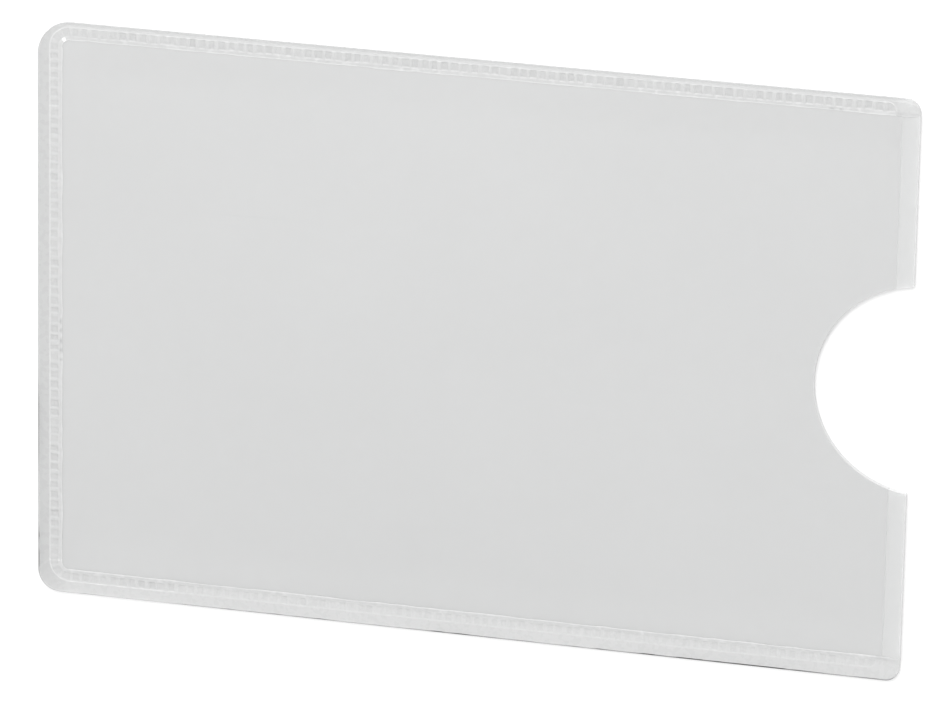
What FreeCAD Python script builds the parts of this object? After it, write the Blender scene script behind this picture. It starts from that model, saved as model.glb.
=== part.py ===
import FreeCAD, Part
import math
import os

# A flat welded sleeve for one bank card, lying on its back.
# X runs along the sleeve, with the open mouth at +X. Y runs across it and Z is up, through the two walls.
# The origin is the middle of the back face's bounding box. All lengths are millimetres.

# Outline of the sleeve
sleeve_length = 90.0
sleeve_width = 61.0
top_closed_radius = 3.4
bottom_closed_radius = 2.3
mouth_corner_radius = 1.5

# Sheets of one wall
cover_thickness = 0.18
foil_thickness = 0.05
liner_thickness = 0.08

# Pocket for the card
pocket_gap = 0.90
pocket_corner_radius = 0.25
flank_run = 0.45

# Welded border on the three closed sides
end_margin = 1.20
top_margin = 0.25
bottom_margin = 1.20
outer_rail_width = 0.20
tooth_width = 0.80
inner_rail_width = 0.30
rail_height = 0.10
tooth_depth = 0.20
rung_pitch = 1.00
rung_width = 0.38
seam_end_setback = 2.30
seam_end_radius = 0.90

# Mouth
mouth_strip_width = 1.85
foil_edge_clearance = 0.04
notch_radius = 10.90
notch_centre_beyond_mouth = 1.20

# Extra length of every cutting shape
cut_overrun = 1.0

# Heights of the two walls and of the border
wall_thickness = cover_thickness + foil_thickness + liner_thickness
pocket_floor = wall_thickness
pocket_ceiling = pocket_floor + pocket_gap
front_face = pocket_ceiling + wall_thickness
margin_height = 2 * (cover_thickness + liner_thickness)
border_height = margin_height + rail_height

# Plan of the weld and of the pocket inside it
seam_width = outer_rail_width + tooth_width + inner_rail_width
closed_end = -sleeve_length / 2
mouth_edge = sleeve_length / 2
pocket_end = closed_end + end_margin + seam_width
pocket_top = sleeve_width / 2 - top_margin - seam_width
pocket_bottom = -sleeve_width / 2 + bottom_margin + seam_width
pocket_middle = (pocket_top + pocket_bottom) / 2
foil_edge = mouth_edge - mouth_strip_width
deepest_inset = cover_thickness + liner_thickness + flank_run
weld_corner_radius = pocket_corner_radius + deepest_inset

quarter_turn = math.pi / 2


def rounded_wire(x_low, x_high, y_low, y_high, closed_radii, mouth_radius, z):
    """A rectangle with a top and a bottom corner radius at its closed end and one radius at its mouth.

    A radius of 0 leaves a sharp corner.
    """
    top_radius, bottom_radius = closed_radii
    corners = (
        (x_high - mouth_radius, y_low + mouth_radius, mouth_radius),
        (x_high - mouth_radius, y_high - mouth_radius, mouth_radius),
        (x_low + top_radius, y_high - top_radius, top_radius),
        (x_low + bottom_radius, y_low + bottom_radius, bottom_radius),
    )
    arcs = []
    ends = []
    for index, (x, y, radius) in enumerate(corners):
        start_angle = (index - 1) * quarter_turn
        centre = FreeCAD.Vector(x, y, z)
        if radius > 0:
            circle = Part.Circle(centre, FreeCAD.Vector(0, 0, 1), radius)
            arc = Part.Arc(circle, start_angle, start_angle + quarter_turn).toShape()
            arcs.append(arc)
            ends.append((arc.Vertexes[0].Point, arc.Vertexes[-1].Point))
        else:
            arcs.append(None)
            ends.append((centre, centre))
    edges = []
    for index, arc in enumerate(arcs):
        if arc is not None:
            edges.append(arc)
        following = ends[(index + 1) % len(ends)]
        edges.append(Part.makeLine(ends[index][1], following[0]))
    return Part.Wire(edges)


def pocket_wire(inset, z, x_high=mouth_edge + cut_overrun):
    """The pocket's outline, drawn in by an inset on its three closed sides."""
    radius = weld_corner_radius - inset
    return rounded_wire(
        pocket_end + inset, x_high, pocket_bottom + inset, pocket_top - inset,
        (radius, radius), 0, z)


def raised(wire, height):
    """The solid that stands on a flat wire."""
    return Part.Face(wire).extrude(FreeCAD.Vector(0, 0, height))


def sleeve_blank(height):
    """The die-cut outline of the whole sleeve as a solid block."""
    half_width = sleeve_width / 2
    wire = rounded_wire(
        closed_end, mouth_edge, -half_width, half_width,
        (top_closed_radius, bottom_closed_radius), mouth_corner_radius, 0)
    return raised(wire, height)


def thumb_cut():
    """The punch that takes the thumb notch out of both walls."""
    base = FreeCAD.Vector(mouth_edge + notch_centre_beyond_mouth, pocket_middle, -cut_overrun)
    return Part.makeCylinder(notch_radius, front_face + 2 * cut_overrun, base)


def trimmed(shape):
    """A sheet cut to the sleeve's outline at the mouth, with the thumb notch punched out."""
    return shape.common(sleeve_blank(front_face)).cut(thumb_cut())


def flat_sheet(inset, low, thickness, x_high=mouth_edge + cut_overrun):
    """A flat sheet that fills the pocket's outline, less an inset."""
    return trimmed(raised(pocket_wire(inset, low, x_high), thickness))


def mouth_strip(inset, low, thickness):
    """The strip of a flat layer between the foil's edge and the mouth."""
    strip = raised(pocket_wire(inset, low), thickness)
    inner_part = raised(pocket_wire(inset, low, foil_edge), thickness)
    return trimmed(strip.cut(inner_part))


def dome_block(inset, top):
    """The space under a front sheet: upright beside the weld, then leaning in to a flat top."""
    upright = raised(pocket_wire(inset, pocket_floor), border_height - pocket_floor)
    lower = pocket_wire(inset, border_height)
    upper = pocket_wire(inset + flank_run, top)
    return upright.fuse(Part.makeLoft([lower, upper], True, True))


def front_sheet(inset, top, thickness):
    """A sheet of the front wall, as a shallow tray turned over, open at the mouth."""
    outside = dome_block(inset, top)
    inside = dome_block(inset + thickness, top - thickness)
    return trimmed(outside.cut(inside)).removeSplitter()


def tooth(x, y, angle, length):
    """One pressed-in mark of the weld tool, standing across the seam's direction."""
    block = Part.makeBox(length, tooth_width, tooth_depth + cut_overrun)
    block.translate(FreeCAD.Vector(-length / 2, -tooth_width / 2, border_height - tooth_depth))
    block.rotate(FreeCAD.Vector(0, 0, 0), FreeCAD.Vector(0, 0, 1), math.degrees(angle))
    block.translate(FreeCAD.Vector(x, y, 0))
    return block


def straight_teeth(start, end):
    """Evenly spaced tool marks along a straight run of the seam."""
    run = math.dist(start, end)
    angle = math.atan2(end[1] - start[1], end[0] - start[0])
    count = max(1, round(run / rung_pitch))
    spacing = run / count
    marks = []
    for index in range(count):
        along = (index + 0.5) * spacing
        x = start[0] + along * math.cos(angle)
        y = start[1] + along * math.sin(angle)
        marks.append(tooth(x, y, angle, spacing - rung_width))
    return marks


def corner_teeth(centre, radius, start_angle):
    """Evenly spaced tool marks round a quarter turn of the seam."""
    count = max(1, round(radius * quarter_turn / rung_pitch))
    spacing = radius * quarter_turn / count
    marks = []
    for index in range(count):
        angle = start_angle + (index + 0.5) * quarter_turn / count
        x = centre[0] + radius * math.cos(angle)
        y = centre[1] + radius * math.sin(angle)
        marks.append(tooth(x, y, angle + quarter_turn, spacing - rung_width))
    return marks


def seam_teeth():
    """Every mark of the ladder, along the top run, the closed end and the bottom run."""
    offset = inner_rail_width + tooth_width / 2
    radius = weld_corner_radius + offset
    row_end = pocket_end - offset
    row_top = pocket_top + offset
    row_bottom = pocket_bottom - offset
    row_mouth = mouth_edge - seam_end_setback - outer_rail_width
    top_centre = (row_end + radius, row_top - radius)
    bottom_centre = (row_end + radius, row_bottom + radius)
    marks = straight_teeth((row_mouth, row_top), (top_centre[0], row_top))
    marks += corner_teeth(top_centre, radius, quarter_turn)
    marks += straight_teeth((row_end, top_centre[1]), (row_end, bottom_centre[1]))
    marks += corner_teeth(bottom_centre, radius, 2 * quarter_turn)
    marks += straight_teeth((bottom_centre[0], row_bottom), (row_mouth, row_bottom))
    return marks


def weld_border():
    """The melted border: a flat margin, with the raised ladder of the weld beside the pocket."""
    margin = sleeve_blank(margin_height)
    ladder_radius = weld_corner_radius + seam_width
    ladder_outline = rounded_wire(
        pocket_end - seam_width, mouth_edge - seam_end_setback,
        pocket_bottom - seam_width, pocket_top + seam_width,
        (ladder_radius, ladder_radius), seam_end_radius, 0)
    ladder = raised(ladder_outline, border_height).common(sleeve_blank(border_height))
    pocket = raised(pocket_wire(0, -cut_overrun), front_face + 2 * cut_overrun)
    border = margin.fuse(ladder).cut(pocket)
    return border.cut(Part.makeCompound(seam_teeth())).removeSplitter()


foil_inset = cover_thickness + flank_run + foil_edge_clearance
front_foil_top = front_face - cover_thickness
front_liner_top = front_foil_top - foil_thickness

parts = {
    "weld_border": weld_border(),
    "back_cover_film": flat_sheet(0, 0, cover_thickness),
    "back_shield_foil": flat_sheet(foil_inset, cover_thickness, foil_thickness, foil_edge),
    "back_mouth_seal": mouth_strip(0, cover_thickness, foil_thickness),
    "back_liner_film": flat_sheet(0, cover_thickness + foil_thickness, liner_thickness),
    "front_liner_film": front_sheet(cover_thickness, front_liner_top, liner_thickness),
    "front_shield_foil": flat_sheet(foil_inset, front_liner_top, foil_thickness, foil_edge),
    "front_mouth_seal": mouth_strip(foil_inset, front_liner_top, foil_thickness),
    "front_cover_film": front_sheet(0, front_face, cover_thickness),
}

os.makedirs("parts", exist_ok=True)
for node, shape in parts.items():
    shape.exportStep("parts/" + node + ".step")
    box = shape.BoundBox
    print(node, "solids", len(shape.Solids), "valid", shape.isValid(), "volume", round(shape.Volume, 3),
          "box", [round(v, 3) for v in (box.XMin, box.XMax, box.YMin, box.YMax, box.ZMin, box.ZMax)])
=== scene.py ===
import math
import bpy
import numpy as np
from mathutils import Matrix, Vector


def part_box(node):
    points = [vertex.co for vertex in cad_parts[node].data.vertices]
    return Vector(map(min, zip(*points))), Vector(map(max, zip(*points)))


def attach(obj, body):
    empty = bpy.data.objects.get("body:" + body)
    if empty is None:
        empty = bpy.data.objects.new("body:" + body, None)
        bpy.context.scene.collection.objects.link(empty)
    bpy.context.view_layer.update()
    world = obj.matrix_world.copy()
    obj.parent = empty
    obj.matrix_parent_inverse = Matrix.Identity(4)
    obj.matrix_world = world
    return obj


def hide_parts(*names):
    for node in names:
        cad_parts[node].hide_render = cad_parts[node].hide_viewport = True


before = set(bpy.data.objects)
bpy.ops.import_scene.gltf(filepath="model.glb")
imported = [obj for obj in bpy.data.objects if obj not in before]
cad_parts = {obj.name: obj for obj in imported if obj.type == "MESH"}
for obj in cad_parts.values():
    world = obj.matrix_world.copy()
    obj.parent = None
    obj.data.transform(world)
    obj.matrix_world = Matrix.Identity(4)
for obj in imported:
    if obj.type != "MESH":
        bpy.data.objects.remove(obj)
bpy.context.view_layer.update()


# Back cover film
# A clear film, 0.18 mm thick, is the outside of the back wall and lies flat on the table.
# The thumb notch is punched out of it, and its three closed edges melt into the weld border.
mm = 0.001
pocket_low, pocket_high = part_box("back_cover_film")
pocket_end, pocket_bottom, table_height = pocket_low
mouth, pocket_top, back_cover_top = pocket_high
pocket_corner = 0.96 * mm
notch_radius = 10.90 * mm
notch_standoff = 1.20 * mm
notch_x = mouth + notch_standoff
notch_y = (pocket_bottom + pocket_top) / 2
# The weld's heat thins a cover film over this reach, down to this share of its thickness
heat_reach = 4.0 * mm
melted_share = 0.25
# A hairline of air keeps the faces of neighbouring sheets out of one plane
air = 0.006 * mm
# Grid lines of a sheet: round a corner, in a heated strip, across the open part and round the notch
corner_rows = 13
heated_rows = 10
open_rows = 49
notch_rows = 97
heated_columns = 13
open_columns = 61
# Rows that agree to this many decimals of a metre are one row
row_decimals = 8
# Edges that turn by more than this angle, in radians, stay sharp
sharp_angle = 0.9
film_tint = (0.815, 0.819, 0.819, 1.0)
film_body = 0.16
film_grain = 0.002 * mm
film_roughness = 0.22
rub_roughness = 0.18
rub_haze = 0.012
# Frosted cut faces: the light they stop, their share of the film's colour, and how far a face is
# turned to the mouth where the frost starts and where it is full
cut_frost = 0.90
cut_shade = 0.89
cut_start = 0.06
cut_full = 0.11


def smooth_step(value, start, end):
    """Rises from 0 at start to 1 at end along a cubic S-curve."""
    share = np.clip((value - start) / (end - start), 0, 1)
    return share * share * (3 - 2 * share)


def cover_share(x, y):
    """Share of its thickness that a cover film keeps.

    It is 1 in the open and falls along an S-curve to the melted share at each closed side, where the
    weld's heat thins the film.
    """
    from_end = smooth_step(x - pocket_end, 0, heat_reach)
    from_top = smooth_step(pocket_top - y, 0, heat_reach)
    from_bottom = smooth_step(y - pocket_bottom, 0, heat_reach)
    return melted_share + (1 - melted_share) * from_end * from_top * from_bottom


def back_cover_inside(x, y):
    """Height of the back cover film's inner face: what it keeps of its thickness, above the table."""
    return table_height + cover_share(x, y) * (back_cover_top - table_height)


def sheet_rows(low, high, corner, right):
    """Places of a sheet's rows.

    They stand at equal angles round the corners and the notch, at close steps beside the welds, and at
    even steps across the rest.
    """
    round_corner = corner * (1 - np.cos(np.linspace(0, np.pi / 2, corner_rows)))
    heated = np.linspace(corner, heat_reach, heated_rows)
    in_from_edge = np.concatenate([round_corner, heated])
    reach = np.arccos((notch_x - right) / notch_radius)
    round_notch = notch_y + notch_radius * np.sin(np.linspace(-reach, reach, notch_rows))
    even = np.linspace(low + corner, high - corner, open_rows)
    rows = np.concatenate([low + in_from_edge, high - in_from_edge, even, round_notch])
    return np.unique(np.round(rows, row_decimals))


def notch_edge(y, right):
    """Where a row ends: on the straight edge or, beside the notch, on the notch's circle."""
    half_chord = np.sqrt(np.clip(notch_radius ** 2 - (y - notch_y) ** 2, 0, None))
    return np.where(half_chord > notch_x - right, notch_x - half_chord, right)


def corner_edge(y, left, low, high, corner):
    """Where a row starts: on the straight closed end or on the quarter circle at its two corners."""
    into_corner = np.clip(corner - np.minimum(y - low, high - y), 0, corner)
    return left + corner - np.sqrt(corner ** 2 - into_corner ** 2)


def sheet_plan(inset, right):
    """Plan of a sheet in the pocket, as grids of x and y.

    Each row runs from the closed end to the mouth. Its columns stand close beside the weld and then at
    even shares of the row's length.
    """
    left = pocket_end + inset
    low = pocket_bottom + inset
    high = pocket_top - inset
    corner = pocket_corner - inset
    y = sheet_rows(low, high, corner, right)
    beside_weld = heat_reach / (right - left)
    heated = np.linspace(0, beside_weld, heated_columns)
    even = np.linspace(beside_weld, 1, open_columns)[1:]
    share = np.concatenate([heated, even])
    start = corner_edge(y, left, low, high, corner)[:, None]
    end = notch_edge(y, right)[:, None]
    return start + share * (end - start), np.repeat(y[:, None], share.size, axis=1)


def grid_quads(index):
    """Quads of a grid of vertex numbers, turning left when rows run up and columns run right."""
    quads = np.stack([index[:-1, :-1], index[:-1, 1:], index[1:, 1:], index[1:, :-1]], axis=-1)
    return quads.reshape(-1, 4)


def put_piece(name, points, faces):
    """Makes the mesh object, smooth but for its sharp edges, and lets it ride on the sleeve's one body."""
    mesh = bpy.data.meshes.new(name)
    mesh.from_pydata(points.tolist(), [], faces, shade_flat=False)
    mesh.set_sharp_from_angle(angle=sharp_angle)
    piece = bpy.data.objects.new(name, mesh)
    bpy.context.scene.collection.objects.link(piece)
    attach(piece, "root")
    return piece


def closed_sheet(x, y, under, over):
    """Points and faces of a sheet: its upper grid, its lower grid, and a wall round their rims."""
    count = x.size
    index = np.arange(count).reshape(x.shape)
    lower = np.stack([x, y, np.broadcast_to(under, x.shape)], axis=-1).reshape(-1, 3)
    upper = np.stack([x, y, np.broadcast_to(over, x.shape)], axis=-1).reshape(-1, 3)
    rim = np.concatenate([index[0, :-1], index[:-1, -1], index[-1, :0:-1], index[:0:-1, 0]])
    onward = np.roll(rim, -1)
    wall = np.stack([rim, onward, onward + count, rim + count], axis=-1)
    quads = grid_quads(index)
    faces = np.concatenate([quads[:, ::-1], quads + count, wall])
    return np.concatenate([lower, upper]), faces.tolist()


def add_node(tree, kind, inputs=None, **settings):
    """Adds a shader node: plain values go on its sockets, and other nodes' sockets are linked to them."""
    made = tree.nodes.new(kind)
    for name, value in settings.items():
        setattr(made, name, value)
    for name, value in (inputs or {}).items():
        if isinstance(value, bpy.types.NodeSocket):
            tree.links.new(value, made.inputs[name])
        else:
            made.inputs[name].default_value = value
    return made


def film_finish_group():
    """Node group of a handled clear film.

    Its colour and body are softly clouded, hairline rubs along the sleeve add a little haze and
    roughness, and a fine grain is put out as a height.
    """
    tree = bpy.data.node_groups.new("film_finish", "ShaderNodeTree")
    taken = (("Place", "NodeSocketVector"), ("Tint", "NodeSocketColor"), ("Body", "NodeSocketFloat"))
    put_out = (("Color", "NodeSocketColor"), ("Alpha", "NodeSocketFloat"),
               ("Roughness", "NodeSocketFloat"), ("Height", "NodeSocketFloat"))
    for name, kind in taken:
        tree.interface.new_socket(name, in_out="INPUT", socket_type=kind)
    for name, kind in put_out:
        tree.interface.new_socket(name, in_out="OUTPUT", socket_type=kind)
    given = add_node(tree, "NodeGroupInput").outputs
    cloud = add_node(tree, "ShaderNodeTexNoise", {
        "Vector": given["Place"], "Scale": 60.0, "Detail": 3.0})
    shade = add_node(tree, "ShaderNodeMapRange", {
        "Value": cloud.outputs[0], "From Min": 0.3, "From Max": 0.7,
        "To Min": 0.992, "To Max": 1.008})
    colour = add_node(tree, "ShaderNodeVectorMath", {0: given["Tint"], 1: shade.outputs[0]},
                      operation="MULTIPLY")
    along = add_node(tree, "ShaderNodeMapping", {
        "Vector": given["Place"], "Scale": (30.0, 2600.0, 30.0)})
    rub = add_node(tree, "ShaderNodeTexNoise", {
        "Vector": along.outputs[0], "Scale": 1.0, "Detail": 2.0})
    hairline = add_node(tree, "ShaderNodeMapRange", {
        "Value": rub.outputs[0], "From Min": 0.66, "From Max": 0.80})
    grain = add_node(tree, "ShaderNodeTexNoise", {
        "Vector": given["Place"], "Scale": 5200.0, "Detail": 2.0})
    hazed = add_node(tree, "ShaderNodeMath", {
        0: hairline.outputs[0], 1: rub_haze, 2: given["Body"]}, operation="MULTIPLY_ADD")
    alpha = add_node(tree, "ShaderNodeMath", {0: hazed.outputs[0], 1: shade.outputs[0]},
                     operation="MULTIPLY")
    rough = add_node(tree, "ShaderNodeMath", {
        0: hairline.outputs[0], 1: rub_roughness, 2: film_roughness}, operation="MULTIPLY_ADD")
    add_node(tree, "NodeGroupOutput", {
        "Color": colour.outputs[0], "Alpha": alpha.outputs[0],
        "Roughness": rough.outputs[0], "Height": grain.outputs[0]})
    return tree


def clear_film_material(name, tint, body, grain_depth):
    """A see-through film: body is the share of light that one of its faces stops.

    The die leaves the cut faces at the mouth and in the notch frosted. They are the upright faces that
    are turned to the mouth, so the frost follows the X of a face's normal less its up or down part.
    """
    material = bpy.data.materials.new(name)
    material.use_nodes = True
    tree = material.node_tree
    surface = tree.nodes["Principled BSDF"]
    place = add_node(tree, "ShaderNodeTexCoord").outputs["Object"]
    finish = add_node(tree, "ShaderNodeGroup", {"Place": place, "Tint": tint, "Body": body},
                      node_tree=film_finish).outputs
    facing = add_node(tree, "ShaderNodeNewGeometry").outputs["True Normal"]
    turned = add_node(tree, "ShaderNodeSeparateXYZ", {0: facing}).outputs
    level = add_node(tree, "ShaderNodeMath", {0: turned["Z"]}, operation="ABSOLUTE")
    to_mouth = add_node(tree, "ShaderNodeMath", {0: turned["X"], 1: level.outputs[0]},
                        operation="SUBTRACT")
    cut_range = {"Value": to_mouth.outputs[0], "From Min": cut_start, "From Max": cut_full}
    frost = add_node(tree, "ShaderNodeMapRange", {**cut_range, "To Max": cut_frost})
    dulled = add_node(tree, "ShaderNodeMapRange", {**cut_range, "To Min": 1.0, "To Max": cut_shade})
    alpha = add_node(tree, "ShaderNodeMath", {0: finish["Alpha"], 1: frost.outputs[0]},
                     operation="MAXIMUM")
    colour = add_node(tree, "ShaderNodeVectorMath", {0: finish["Color"], 1: dulled.outputs[0]},
                      operation="MULTIPLY")
    grain = add_node(tree, "ShaderNodeBump", {"Height": finish["Height"], "Distance": grain_depth})
    tree.links.new(colour.outputs[0], surface.inputs["Base Color"])
    tree.links.new(finish["Roughness"], surface.inputs["Roughness"])
    tree.links.new(alpha.outputs[0], surface.inputs["Alpha"])
    tree.links.new(grain.outputs[0], surface.inputs["Normal"])
    return material


film_finish = film_finish_group()
clear_film = clear_film_material("clear_film", film_tint, film_body, film_grain)

x, y = sheet_plan(0, mouth)
over = back_cover_inside(x, y)
back_cover = put_piece("back_cover_sheet", *closed_sheet(x, y, table_height, over - air))
back_cover.data.materials.append(clear_film)
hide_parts("back_cover_film")


# Shielding foil of the back wall
# A thin aluminium foil with a satin face, laid on the cover film before the wall is welded.
# It stops just inside the weld on the closed sides, and well short of the mouth.
foil_inset = 0.01 * mm
back_foil_low, back_foil_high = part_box("back_shield_foil")
foil_edge = back_foil_high[0]
foil_thickness = back_foil_high[2] - back_foil_low[2]
foil_grey = (0.580, 0.583, 0.583)
foil_metallic = 0.35
foil_pebble = 0.004 * mm


def shield_foil_material():
    """Satin foil: long fine roll marks, faint broad patches and a very fine pebble in its face."""
    material = bpy.data.materials.new("shield_foil")
    material.use_nodes = True
    tree = material.node_tree
    surface = tree.nodes["Principled BSDF"]
    place = add_node(tree, "ShaderNodeTexCoord").outputs["Object"]
    rolled = add_node(tree, "ShaderNodeMapping", {"Vector": place, "Scale": (90.0, 2400.0, 90.0)})
    roll = add_node(tree, "ShaderNodeTexNoise", {
        "Vector": rolled.outputs[0], "Scale": 1.0, "Detail": 4.0})
    patch = add_node(tree, "ShaderNodeTexNoise", {"Vector": place, "Scale": 70.0, "Detail": 2.0})
    mixed = add_node(tree, "ShaderNodeMath", {0: roll.outputs[0], 1: patch.outputs[0]},
                     operation="ADD")
    shade = add_node(tree, "ShaderNodeMapRange", {
        "Value": mixed.outputs[0], "From Min": 0.7, "From Max": 1.3,
        "To Min": 0.994, "To Max": 1.006})
    colour = add_node(tree, "ShaderNodeVectorMath", {0: foil_grey, 1: shade.outputs[0]},
                      operation="MULTIPLY")
    rough = add_node(tree, "ShaderNodeMapRange", {
        "Value": roll.outputs[0], "To Min": 0.50, "To Max": 0.62})
    pebble = add_node(tree, "ShaderNodeTexNoise", {"Vector": place, "Scale": 3600.0, "Detail": 3.0})
    bump = add_node(tree, "ShaderNodeBump", {"Height": pebble.outputs[0], "Distance": foil_pebble})
    tree.links.new(colour.outputs[0], surface.inputs["Base Color"])
    tree.links.new(rough.outputs[0], surface.inputs["Roughness"])
    tree.links.new(bump.outputs[0], surface.inputs["Normal"])
    surface.inputs["Metallic"].default_value = foil_metallic
    return material


shield_foil = shield_foil_material()
x, y = sheet_plan(foil_inset, foil_edge)
under = back_cover_inside(x, y)
back_foil = put_piece("back_foil_sheet", *closed_sheet(x, y, under, under + foil_thickness - air))
back_foil.data.materials.append(shield_foil)
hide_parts("back_shield_foil")


# Clear seal of the back wall's mouth
# Two strips of sealing film beside the foil's edge bond cover and liner together above and below the
# notch. They are as thick as the foil, so the wall stays level right out to the mouth.
seal_tint = (0.870, 0.873, 0.873, 1.0)
seal_body = 0.42
seal_grain = 0.001 * mm
# Grid lines of a strip: beside the notch, from there to the weld, and across
strip_notch_rows = 14
strip_open_rows = 25
strip_columns = 9


def strip_plans(inset):
    """Plans of the two strips between the foil's edge and the mouth, above and below the notch.

    A strip's rows start at the foil's edge and end at the mouth or on the notch's circle.
    """
    start = np.arccos((notch_x - foil_edge) / notch_radius)
    stop = np.arccos((notch_x - mouth) / notch_radius)
    beside_notch = notch_radius * np.sin(np.linspace(start, stop, strip_notch_rows)[1:])
    share = np.linspace(0, 1, strip_columns)
    left = foil_edge + air
    plans = []
    for side, edge in ((1, pocket_top - inset), (-1, pocket_bottom + inset)):
        past_notch = np.linspace(notch_y + side * beside_notch[-1], edge, strip_open_rows)[1:]
        rows = np.sort(np.concatenate([notch_y + side * beside_notch, past_notch]))[:, None]
        x = left + share * (notch_edge(rows, mouth) - left)
        plans.append((x, np.repeat(rows, share.size, axis=1)))
    return plans


def both_strips(upper, lower):
    """Points and faces of two closed sheets as one mesh."""
    points, faces = upper
    more_points, more_faces = lower
    shifted = (np.array(more_faces) + len(points)).tolist()
    return np.concatenate([points, more_points]), faces + shifted


seal_film = clear_film_material("seal_strip", seal_tint, seal_body, seal_grain)
strips = []
for x, y in strip_plans(foil_inset):
    under = back_cover_inside(x, y)
    strips.append(closed_sheet(x, y, under, under + foil_thickness - air))
back_seal = put_piece("back_seal_strips", *both_strips(*strips))
back_seal.data.materials.append(seal_film)
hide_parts("back_mouth_seal")


# Liner film of the back wall
# A thin clear film with a fine matt face, so that a card slides on plastic. It closes the foil in.
# Beside the weld its melt fills the room that the thinned cover film leaves.
liner_tint = (0.796, 0.800, 0.800, 1.0)
liner_body = 0.18
liner_grain = 0.006 * mm
liner_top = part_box("back_liner_film")[1][2]

liner_film = clear_film_material("liner_film", liner_tint, liner_body, liner_grain)
x, y = sheet_plan(0, mouth)
under = back_cover_inside(x, y) + foil_thickness
back_liner = put_piece("back_liner_sheet", *closed_sheet(x, y, under, liner_top - air))
back_liner.data.materials.append(liner_film)
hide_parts("back_liner_film")


# Liner film of the front wall
# The same thin film. The empty front wall bows up from the weld into a long shallow pillow over the
# card's space, comes down again at the notch, and lies closed from there to the mouth.
front_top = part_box("front_cover_film")[1][2]
cover_thickness = front_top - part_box("front_shield_foil")[1][2]
wall_thickness = liner_top - table_height
weld_line_height = table_height + 2 * wall_thickness
bow_height = 0.55 * mm
bow_peak = -8.0 * mm
bow_end = notch_x - notch_radius


def front_height(x, y):
    """Height of the front wall's outer face.

    Across the sleeve it is a parabola from weld to weld. Along it, the rise follows a bell curve from
    nothing at the closed end, over the bow's peak, to nothing at the notch, and stays there.
    """
    across = (2 * y - pocket_top - pocket_bottom) / (pocket_top - pocket_bottom)
    reach = np.where(x < bow_peak, pocket_end - bow_peak, bow_end - bow_peak)
    along = np.minimum((x - bow_peak) / reach, 1)
    return weld_line_height + bow_height * (1 - across ** 2) * (1 - along ** 2) ** 2


def front_cover_inside(x, y):
    """Height of the front cover film's inner face: what it keeps of its thickness, under the outer face."""
    return front_height(x, y) - cover_share(x, y) * cover_thickness


x, y = sheet_plan(0, mouth)
under = front_height(x, y) - wall_thickness
over = front_cover_inside(x, y) - foil_thickness
front_liner = put_piece("front_liner_sheet", *closed_sheet(x, y, under + air, over - air))
front_liner.data.materials.append(liner_film)
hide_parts("front_liner_film")


# Shielding foil of the front wall
# The satin foil that gives the sleeve its silver-grey face, of the same stock as the back one.
# It lies under the front cover film and follows it down to the weld's inner rail.
x, y = sheet_plan(foil_inset, foil_edge)
over = front_cover_inside(x, y)
front_foil = put_piece("front_foil_sheet", *closed_sheet(x, y, over - foil_thickness, over - air))
front_foil.data.materials.append(shield_foil)
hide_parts("front_shield_foil")


# Clear seal of the front wall's mouth
# Two strips of sealing film, twins of the back wall's, above and below the notch.
# They bond the front cover film to its liner beside the foil's edge.
strips = []
for x, y in strip_plans(foil_inset):
    over = front_cover_inside(x, y)
    strips.append(closed_sheet(x, y, over - foil_thickness + air, over - air))
front_seal = put_piece("front_seal_strips", *both_strips(*strips))
front_seal.data.materials.append(seal_film)
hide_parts("front_mouth_seal")


# Front cover film
# The clear outer film of the front wall, of the same stock as the back one.
# It is welded down on three sides and left open at the mouth.
x, y = sheet_plan(0, mouth)
over = front_height(x, y)
under = front_cover_inside(x, y)
front_cover = put_piece("front_cover_sheet", *closed_sheet(x, y, under + air, over))
front_cover.data.materials.append(clear_film)
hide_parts("front_cover_film")


# Weld border
# All films are melted into one along three sides by a heated tool, which leaves a ladder: an inner and
# an outer rail with rungs between them, a flat die-cut margin outside, and a plain back face.
sleeve_low, sleeve_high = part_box("weld_border")
margin_height = 0.52 * mm
rail_foot = 0.59 * mm
rail_height = sleeve_high[2]
seam_width = 1.30 * mm
outer_rail = 0.20 * mm
inner_rail = 0.30 * mm
wall_slope = 0.12 * mm
rung_pitch = 1.00 * mm
rung_width = 0.38 * mm
tooth_depth = 0.058 * mm
ladder_setback = 2.30 * mm
ladder_end_radius = 0.90 * mm
top_radius = 3.40 * mm
low_radius = 2.30 * mm
mouth_radius = 1.50 * mm
# The lip of melt on the pocket's films: its reach and height, and the share of its reach at its crest
lip_reach = 0.15 * mm
lip_height = 0.65 * mm
lip_crest = 0.7
# The die-cut edge: its round, how much the stretches of painted shadow widen it, the fine line below
# it, and the length over which its tone fades at the bottom's mouth end
edge_round = 0.18 * mm
round_growth = 0.5
edge_line = 0.04 * mm
edge_fade = 1.0 * mm
# Grid lines of the border: stations along the weld, and points across flats, sloping walls and round
weld_step = 0.07 * mm
flat_points = 4
inner_wall_steps = np.linspace(-1, 1, 5)
outer_wall_steps = np.linspace(-0.6, 0.6, 4)
foot_steps = np.array([0.5, 0.0])
round_turns = np.radians([0, 14, 38, 64, 90])
# Unevenness of the weld: how much each measure varies, and the spacing of the drift along the weld
weld_seed = 7
pitch_spread = 0.10
width_spread = 0.30
depth_spread = 0.40
rung_lean = 0.05
lean_spacing = 4.0 * mm
rail_wander = 0.06 * mm
wander_spacing = 1.7 * mm
rail_swell = 0.008 * mm
swell_spacing = 2.3 * mm
fleck_tone = 0.06
fleck_spacing = 0.55 * mm
lip_spread = 0.35
lip_spacing = 1.3 * mm
# The painted shadow on the edge varies along it by this share, at this spacing
shade_spread = 0.3
shade_spacing = 1.2 * mm
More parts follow.
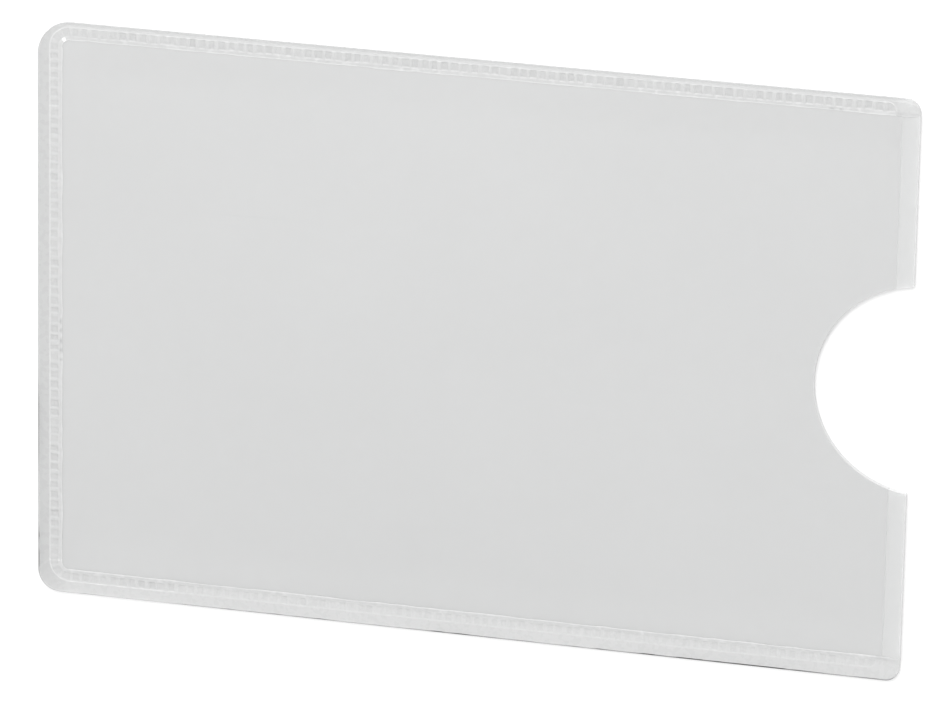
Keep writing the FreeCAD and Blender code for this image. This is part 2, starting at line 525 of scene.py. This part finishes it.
# Press of the tool's teeth: full on the top side, with what the closed end, the bottom side and the
# stretches beside two corners lose, and where these stretches lie along their sides
full_press = 1.1
end_loss = 0.2
bottom_loss = 0.55
bottom_loss_start = 9.0 * mm
bottom_loss_full = 14.0 * mm
top_corner_loss = 0.6
top_corner_place = -1.2 * mm
top_corner_length = 2.8 * mm
low_corner_loss = 0.4
low_corner_place = 2.5 * mm
low_corner_length = 3.0 * mm
# Stretches over which tones change: from side to side, away from the closed end, and at the mouth
side_change = np.array([-1.0, 2.0]) * mm
end_change = np.array([-2.0, 1.0]) * mm
mouth_change = np.array([-0.5, 1.0]) * mm
# Tones of the melt, from 0, dark, to 1, milky white
edge_tone = 0.14
square_tone = 0.33
rung_tone = 0.52
bottom_milkiness = 0.12
lip_tone = 0.85
inner_rail_tone = 0.77
end_inner_tone = 0.70
outer_rail_tone = 0.86
end_outer_tone = 0.80
bottom_outer_tone = 0.70
top_margin_tone = 0.27
end_margin_tone = 0.24
bottom_margin_tone = 0.60
top_mouth_tone = 0.52
bottom_mouth_tone = 0.60
# How soon the edge's tone sets in over its round, plain and under painted shadow, as sines of the turn
round_onset = 0.4
band_onset = 0.5
# Look of the melt from tone 0 to tone 1: the tone, then its grey and its opacity
melt_looks = (
    # Tones near 0 are reached only in painted shade
    (0.00, (0.070, 0.071, 0.071, 1.00)),
    (0.10, (0.440, 0.443, 0.443, 0.75)),
    (0.25, (0.664, 0.667, 0.667, 0.49)),
    (0.80, (0.810, 0.813, 0.813, 0.54)),
    (1.00, (0.960, 0.960, 0.960, 0.90)),
)
melt_ripple = 0.0008 * mm
# The tone under which the painted shade is also made rough, and the roughness that this adds at tone 0
shadow_rough_tone = 0.2
shadow_roughness = 0.6
# Flaws of the weld, with painted light among them: distance run, offset, half length and half width in
# millimetres, change of tone. The first row is a painted glint on the inner rail at the top corner, the
# dark rows at 118 to 122 mm are painted shade in tiny air gaps along the closed end's inner rail, the dark
# rows at 7.9 and 8.8 mm are dark spots on the inner rail near the mouth, and the rest are flaws of the melt
weld_flaws_and_painted_light = np.array([
    (87.6, 0.05, 0.22, 0.22, 0.60),
    (95.3, 0.70, 0.10, 0.40, 0.25),
    (118.1, 0.00, 0.26, 0.12, -0.65),
    (119.1, 0.00, 0.20, 0.12, -0.65),
    (120.2, 0.00, 0.26, 0.12, -0.70),
    (121.2, 0.00, 0.20, 0.12, -0.65),
    (122.2, 0.02, 0.16, 0.10, -0.50),
    (138.6, 0.65, 0.10, 0.50, -0.30),
    (138.95, 0.65, 0.10, 0.35, 0.20),
    (144.05, 0.65, 0.14, 0.55, 0.40),
    (7.9, 0.02, 0.16, 0.10, -0.65),
    (8.8, 0.02, 0.26, 0.10, -0.65),
    (0.4, -0.05, 1.00, 0.15, 0.22),
    (232.9, -0.05, 1.00, 0.15, 0.30),
])
# Stretches of painted shadow on the die-cut edge, a dark line where shade falls along the bottom and the
# lower closed end: distance run in millimetres, and share of the darkest tone
painted_edge_shadow = np.array([
    (0.0, 0.00), (121.0, 0.00), (125.0, 0.80), (131.0, 0.90), (134.5, 0.40), (138.0, 0.20),
    (140.5, 0.80), (143.9, 1.00), (144.8, 0.15), (148.4, 0.10), (149.2, 0.60), (150.4, 0.60),
    (151.2, 0.10), (156.5, 0.10), (159.5, 0.60), (163.0, 0.80), (172.0, 0.80), (176.0, 0.60),
    (184.0, 0.65), (187.0, 0.90), (190.0, 0.90), (193.0, 0.60), (200.0, 0.60), (206.0, 0.85),
    (209.0, 1.00), (223.0, 1.00), (226.0, 0.60), (233.0, 0.60),
])


def straight_run(start, end, count):
    """Evenly spaced points from start towards end, which is left to the next run."""
    share = np.arange(count)[:, None] / count
    return np.array(start) * (1 - share) + np.array(end) * share


def corner_run(centre, radius, start_angle, count):
    """Evenly spaced points round a quarter circle, whose end is left to the next run."""
    angle = start_angle + np.arange(count) / count * np.pi / 2
    return np.array(centre) + radius * np.stack([np.cos(angle), np.sin(angle)], axis=-1)


def weld_path():
    """Stations along the weld: in along the top, round the closed end, and out along the bottom.

    Gives for each station its points on the pocket's line, on the ladder's outer line and on the
    die-cut edge, and the distance run along the middle of the ladder. Beside the mouth's rounded
    corners the ladder's outer line keeps its share of the way from the pocket's line to the edge.
    """
    left, low, _ = sleeve_low
    _, high, _ = sleeve_high
    straight = mouth - mouth_radius
    arc_left = pocket_end + pocket_corner
    arc_top = pocket_top - pocket_corner
    arc_bottom = pocket_bottom + pocket_corner
    mouth_count = round(mouth_radius / weld_step)
    long_count = round((straight - arc_left) / weld_step)
    side_count = mouth_count + long_count
    corner_count = round((pocket_corner + seam_width / 2) * np.pi / 2 / weld_step)
    end_count = round((arc_top - arc_bottom) / weld_step)

    def beside_pocket(out):
        """The line at one distance out from the pocket."""
        high_line = pocket_top + out
        end_line = pocket_end - out
        low_line = pocket_bottom - out
        radius = pocket_corner + out
        return np.concatenate([
            straight_run((mouth, high_line), (arc_left, high_line), side_count),
            corner_run((arc_left, arc_top), radius, np.pi / 2, corner_count),
            straight_run((end_line, arc_top), (end_line, arc_bottom), end_count),
            corner_run((arc_left, arc_bottom), radius, np.pi, corner_count),
            straight_run((arc_left, low_line), (mouth, low_line), side_count),
            [(mouth, low_line)]])

    edge = np.concatenate([
        corner_run((straight, high - mouth_radius), mouth_radius, 0, mouth_count),
        straight_run((straight, high), (left + top_radius, high), long_count),
        corner_run((left + top_radius, high - top_radius), top_radius, np.pi / 2, corner_count),
        straight_run((left, high - top_radius), (left, low + low_radius), end_count),
        corner_run((left + low_radius, low + low_radius), low_radius, np.pi, corner_count),
        straight_run((left + low_radius, low), (straight, low), long_count),
        corner_run((straight, low + mouth_radius), mouth_radius, 1.5 * np.pi, mouth_count),
        [(mouth, low + mouth_radius)]])
    inner = beside_pocket(0)
    rim = beside_pocket(seam_width)
    top = slice(0, mouth_count)
    bottom = slice(-mouth_count - 1, None)
    rim[top] = inner[top] + seam_width / (high - pocket_top) * (edge - inner)[top]
    rim[bottom] = inner[bottom] + seam_width / (pocket_bottom - low) * (edge - inner)[bottom]
    steps = np.linalg.norm(np.diff(beside_pocket(seam_width / 2), axis=0), axis=1)
    return inner, rim, edge, np.concatenate([[0], np.cumsum(steps)])


def mix(first, second, share):
    """Goes in a straight line from first at share 0 to second at share 1."""
    return first + (second - first) * share


def drift(run, spacing, draw):
    """Random values from -1 to 1 at even spacing along the weld, joined by smooth curves."""
    count = int(run.max() / spacing) + 2
    values = draw.uniform(-1, 1, count)
    place = run / spacing
    before = place.astype(int)
    share = smooth_step(place - before, 0, 1)
    return mix(values[before], values[np.minimum(before + 1, count - 1)], share)


def from_ladder_end(run):
    """Distance of each station past the nearer end of the ladder, which stops short of the mouth."""
    return (np.minimum(run, run.max() - run) - ladder_setback)[:, None]


def ladder_inside(run, offset):
    """Distance in from the ladder's outline: its outer line and its two ends, joined by quarter circles."""
    from_end = from_ladder_end(run)
    from_side = seam_width - offset
    in_round = (from_end < ladder_end_radius) & (from_side < ladder_end_radius)
    from_centre = np.hypot(ladder_end_radius - from_end, ladder_end_radius - from_side)
    return np.where(in_round, ladder_end_radius - from_centre, np.minimum(from_end, from_side))


def tooth_marks(run, offset, draw):
    """Share of full depth that the tool's teeth reach between the rungs.

    Each rung is a ridge across the seam, at an uneven pitch, width and lean. The share is 0 on a rung,
    rises along an S-curve over its wall, and its full value is uneven from tooth to tooth.
    """
    total = run.max()
    count = int((total - 2 * ladder_setback) / rung_pitch)
    pitches = rung_pitch * (1 + pitch_spread * draw.uniform(-1, 1, count))
    ladder_length = total - 2 * ladder_setback - outer_rail
    centres = ladder_setback + outer_rail + np.cumsum(pitches) * ladder_length / pitches.sum()
    widths = rung_width * (1 + width_spread * draw.uniform(-1, 1, count))
    depths = 1 + depth_spread * draw.uniform(-1, 1, count + 1)
    lean = rung_lean * drift(run, lean_spacing, draw)[:, None]
    leaning = run[:, None] + lean * (offset - seam_width / 2)
    after = np.clip(np.searchsorted(centres, leaning), 1, count - 1)
    before = after - 1
    to_rung = np.minimum(np.abs(leaning - centres[before]) - widths[before] / 2,
                         np.abs(leaning - centres[after]) - widths[after] / 2)
    return smooth_step(to_rung, -wall_slope / 2, wall_slope / 2) * depths[after]


def flaws_and_painted_light_tone(run, offset):
    """Tone change by flaws, painted glint and painted shade: bell-shaped spots of their lengths and widths.
    """
    spot_run, spot_offset, spot_length, spot_width = weld_flaws_and_painted_light[:, :4].T * mm
    shape = (((run[:, None, None] - spot_run) / spot_length) ** 2
             + ((offset[:, :, None] - spot_offset) / spot_width) ** 2)
    return (np.exp(-shape) * weld_flaws_and_painted_light[:, 4]).sum(axis=2)


def ladder_relief(run, offset):
    """Height of the border's upper face, and its tone, at each station and offset.

    offset is measured out from the pocket's line. The two rails stand full height, and the tool's teeth
    press the film down between them and between the rungs, less hard along the closed end, along the
    bottom and beside two corners. The tone is palest on the rails and the lip and darkest in the tooth
    marks, changes from side to side, and has the flaws, a painted glint and spots of painted shade added to
    it.
    """
    draw = np.random.default_rng(weld_seed)
    inside = ladder_inside(run, offset)
    marks = tooth_marks(run, offset, draw)

    along_end = (run - mouth + pocket_end)[:, None]
    along_bottom = (run - run.max() + mouth - pocket_end)[:, None]
    past_top = smooth_step(along_end, *side_change)
    past_end = smooth_step(along_bottom, *side_change)
    at_end = past_top * (1 - smooth_step(along_bottom, *end_change))
    at_top_corner = np.exp(-((along_end - top_corner_place) / top_corner_length) ** 2)
    at_low_corner = np.exp(-((along_bottom - low_corner_place) / low_corner_length) ** 2)
    light_press = smooth_step(along_bottom, bottom_loss_start, bottom_loss_full)
    side_press = full_press - end_loss * at_end - bottom_loss * light_press
    corner_press = 1 - top_corner_loss * at_top_corner - low_corner_loss * at_low_corner

    rail_edge = inner_rail + rail_wander * drift(run, wander_spacing, draw)[:, None]
    on_ladder = smooth_step(inside, 0, wall_slope)
    past_outer = smooth_step(inside, outer_rail - wall_slope / 2, outer_rail + wall_slope / 2)
    past_inner = smooth_step(offset, rail_edge - wall_slope / 2, rail_edge + wall_slope / 2)
    between_rails = past_outer * past_inner
    pressed = between_rails * marks * side_press * corner_press
    foot = mix(rail_height, rail_foot, np.clip(offset / seam_width, 0, 1))
    swell = rail_swell * np.abs(drift(run, swell_spacing, draw))[:, None]
    height = foot + on_ladder * (rail_height - foot - swell) - tooth_depth * pressed

    side_margin = mix(mix(top_margin_tone, end_margin_tone, past_top), bottom_margin_tone, past_end)
    mouth_margin = np.where(along_bottom > 0, bottom_mouth_tone, top_mouth_tone)
    near_mouth = 1 - smooth_step(from_ladder_end(run), *mouth_change)
    margin_tone = mix(side_margin, mouth_margin, near_mouth)
    fleck = fleck_tone * drift(run, fleck_spacing, draw)[:, None]
    on_lip = smooth_step(-offset, 0, lip_crest * lip_reach)
    inner_tone = mix(mix(inner_rail_tone, end_inner_tone, at_end) + fleck, lip_tone, on_lip)
    end_tone = mix(outer_rail_tone, end_outer_tone, at_end)
    outer_tone = mix(end_tone, bottom_outer_tone, light_press) + fleck
    rail_tone = mix(inner_tone, outer_tone, smooth_step(offset, 0, seam_width))
    between_tone = rung_tone + bottom_milkiness * light_press
    ladder_tone = mix(rail_tone, between_tone, between_rails) - (rung_tone - square_tone) * pressed
    return height, mix(margin_tone, ladder_tone, on_ladder) + flaws_and_painted_light_tone(run, offset)


def ladder_offsets():
    """Offsets of the points across the lip and the ladder, close together on the sloping walls."""
    outer_edge = seam_width - outer_rail
    offsets = np.concatenate([
        [-lip_reach, -lip_crest * lip_reach],
        np.linspace(0, inner_rail - wall_slope, flat_points),
        inner_rail + wall_slope * inner_wall_steps,
        np.linspace(inner_rail + wall_slope, outer_edge - wall_slope, flat_points),
        outer_edge + wall_slope * outer_wall_steps,
        seam_width - wall_slope * foot_steps])
    return np.unique(offsets)[None, :]


def border_ring():
    """The border as a closed ring of points at every station, carried along the weld's path.

    The ring starts on a thin lip of melt that has run over the pocket's films. It goes out over the
    ladder and the margin, over the small round of the die-cut edge, down its wall and back under the
    flat base to the lip. Along the stretches of painted shadow the round is larger, and its tone is a
    dark band of painted shade.
    """
    inner, rim, edge, run = weld_path()
    offset = ladder_offsets()
    height, tone = ladder_relief(run, offset)
    to_mouth = np.minimum(run, run.max() - run)
    lip_rise = (lip_height - rail_height) * smooth_step(to_mouth, 0, ladder_setback)[:, None]
    lip_end = rail_height + lip_rise / 2 + air
    height = height + lip_rise * (1 - smooth_step(offset, 0, inner_rail))
    height[:, :1] = lip_end
    lip_drift = drift(run, lip_spacing, np.random.default_rng(weld_seed + 1))
    ragged_lip = 1 + lip_spread * lip_drift[:, None]
    share = (offset * np.where(offset < 0, ragged_lip, 1) / seam_width)[:, :, None]
    ladder = inner[:, None, :] + share * (rim - inner)[:, None, :]

    # Painted shadow along the die-cut edge: the share of its darkest tone at each station
    shade_drift = drift(run, shade_spacing, np.random.default_rng(weld_seed + 2))
    shade = np.interp(run / mm, *painted_edge_shadow.T) * (1 + shade_spread * shade_drift)
    in_shade = np.clip(shade, 0, 1)[:, None]
    round_size = edge_round * (1 + round_growth * in_shade)
    outward = (edge - rim) / np.linalg.norm(edge - rim, axis=1, keepdims=True)
    inset = round_size * (1 - np.sin(round_turns))
    shoulder = edge[:, None, :] - inset[:, :, None] * outward[:, None, :]
    shoulder_height = margin_height - round_size * (1 - np.cos(round_turns))
    line_height = shoulder_height[:, -1:] - edge_line
    base_height = np.full((run.size, 2), table_height)
    wall = np.repeat(edge[:, None, :], 2, axis=1)
    under_lip = np.repeat(inner[:, None, :], 2, axis=1)
    plan = np.concatenate([ladder, shoulder, wall, under_lip], axis=1)
    height = np.concatenate([height, shoulder_height, line_height, base_height, lip_end], axis=1)

    margin_tone = tone[:, -1:]
    from_mouth = np.minimum(run / ladder_setback, (run.max() - run) / edge_fade)[:, None]
    # The cut edge keeps its own tone where it is lit, and is darkened to painted shadow in the shaded
    # stretches
    edge_and_shadow_tone = edge_tone * (1 - in_shade)
    cut_tone = mix(margin_tone, edge_and_shadow_tone, smooth_step(from_mouth, 0, 1))
    round_share = smooth_step(np.sin(round_turns), 0, round_onset)
    band_share = smooth_step(np.sin(2 * round_turns), 0, band_onset)
    shoulder_tone = mix(margin_tone, cut_tone, mix(round_share, band_share, in_shade))
    line_tone = mix(cut_tone, margin_tone, in_shade)
    base_tone = np.repeat(margin_tone, 3, axis=1)
    tone = np.concatenate([tone, shoulder_tone, line_tone, base_tone], axis=1)

    points = np.concatenate([plan, height[:, :, None]], axis=2)
    index = np.arange(height.size).reshape(height.shape)
    ring = np.concatenate([index, index[:, :1]], axis=1)
    faces = grid_quads(ring).tolist() + [index[0, ::-1].tolist(), index[-1].tolist()]
    return points.reshape(-1, 3), faces, tone.ravel()


def weld_material():
    """Melted film, by its tone.

    It is pale and milky on the rails, clearer and greyer where the teeth pressed it, and dark, rough and
    no longer clear in the painted shade along the cut edge and in the painted dark spots.
    """
    material = bpy.data.materials.new("weld")
    material.use_nodes = True
    tree = material.node_tree
    surface = tree.nodes["Principled BSDF"]
    place = add_node(tree, "ShaderNodeTexCoord").outputs["Object"]
    tone = add_node(tree, "ShaderNodeAttribute", attribute_name="tone").outputs["Fac"]
    melt = add_node(tree, "ShaderNodeValToRGB", {0: tone})
    stops = melt.color_ramp.elements
    stops[0].color = melt_looks[0][1]
    stops[1].color = melt_looks[-1][1]
    for stop, look in melt_looks[1:-1]:
        stops.new(stop).color = look
    flow = add_node(tree, "ShaderNodeTexNoise", {"Vector": place, "Scale": 1500.0, "Detail": 3.0})
    shade = add_node(tree, "ShaderNodeMapRange", {
        "Value": flow.outputs[0], "From Min": 0.3, "From Max": 0.7,
        "To Min": 0.997, "To Max": 1.003})
    colour = add_node(tree, "ShaderNodeVectorMath", {0: melt.outputs["Color"], 1: shade.outputs[0]},
                      operation="MULTIPLY")
    gloss = add_node(tree, "ShaderNodeMapRange", {
        "Value": flow.outputs[0], "To Min": 0.18, "To Max": 0.38})
    shadow_rough = add_node(tree, "ShaderNodeMapRange", {
        "Value": tone, "From Max": shadow_rough_tone, "To Min": shadow_roughness, "To Max": 0.0})
    rough = add_node(tree, "ShaderNodeMath", {0: gloss.outputs[0], 1: shadow_rough.outputs[0]},
                     operation="ADD")
    bump = add_node(tree, "ShaderNodeBump", {"Height": flow.outputs[0], "Distance": melt_ripple})
    tree.links.new(colour.outputs[0], surface.inputs["Base Color"])
    tree.links.new(melt.outputs["Alpha"], surface.inputs["Alpha"])
    tree.links.new(rough.outputs[0], surface.inputs["Roughness"])
    tree.links.new(bump.outputs[0], surface.inputs["Normal"])
    return material


points, faces, tone = border_ring()
border = put_piece("weld_ladder_border", points, faces)
border.data.attributes.new("tone", "FLOAT", "POINT").data.foreach_set("value", tone)
border.data.materials.append(weld_material())
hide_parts("weld_border")


# Table, light and camera
# A plain white table in an even white room, with one large soft lamp above it, beyond the sleeve's top
# side. The camera stands as the photograph's did: high over the sleeve, towards its mouth and top side.
table_size = 3.0
table_gap = 0.02 * mm
table_white = (0.94, 0.94, 0.94, 1.0)
table_roughness = 0.9
room_white = (1.0, 1.0, 1.0, 1.0)
room_strength = 0.88
# The lamp's side and place in metres, and its power in watts
lamp_size = 0.45
lamp_place = (-0.03, 0.34, 0.37)
lamp_power = 1.80
# The point that the camera looks at, its distance, its angles in degrees and its lens in millimetres
camera_target = (0.34 * mm, -0.65 * mm, 0.0)
camera_distance = 775.9 * mm
camera_degrees = (-19.135, 14.074, 1.043)
camera_lens = 295.12
# Clear faces that one line of sight may pass through
clear_faces = 32

half = table_size / 2
corners = [(-half, -half, -table_gap), (half, -half, -table_gap),
           (half, half, -table_gap), (-half, half, -table_gap)]
table_mesh = bpy.data.meshes.new("table")
table_mesh.from_pydata(corners, [], [(0, 1, 2, 3)])
table = bpy.data.objects.new("table", table_mesh)
bpy.context.scene.collection.objects.link(table)
table_paint = bpy.data.materials.new("table_white")
table_paint.use_nodes = True
table_surface = table_paint.node_tree.nodes["Principled BSDF"]
table_surface.inputs["Base Color"].default_value = table_white
table_surface.inputs["Roughness"].default_value = table_roughness
table_mesh.materials.append(table_paint)

scene = bpy.context.scene
room = bpy.data.worlds.new("room")
room.use_nodes = True
room_light = room.node_tree.nodes["Background"]
room_light.inputs["Color"].default_value = room_white
room_light.inputs["Strength"].default_value = room_strength
scene.world = room
lamp_data = bpy.data.lights.new("lamp", "AREA")
lamp_data.size = lamp_size
lamp_data.energy = lamp_power
lamp = bpy.data.objects.new("lamp", lamp_data)
lamp.location = lamp_place
toward = -np.array(lamp_place) / np.linalg.norm(lamp_place)
lamp_turn = math.atan2(toward[1], toward[0]) - math.pi / 2
lamp.rotation_euler = (math.acos(-toward[2]), 0.0, lamp_turn)
scene.collection.objects.link(lamp)

camera_data = bpy.data.cameras.new("camera")
camera_data.lens = camera_lens
camera = bpy.data.objects.new("camera", camera_data)
camera.rotation_euler = [math.radians(angle) for angle in camera_degrees]
backward = np.array(camera.rotation_euler.to_matrix())[:, 2]
camera.location = np.array(camera_target) + camera_distance * backward
scene.collection.objects.link(camera)
scene.camera = camera
scene.view_settings.view_transform = "Standard"
scene.cycles.transparent_max_bounces = clear_faces
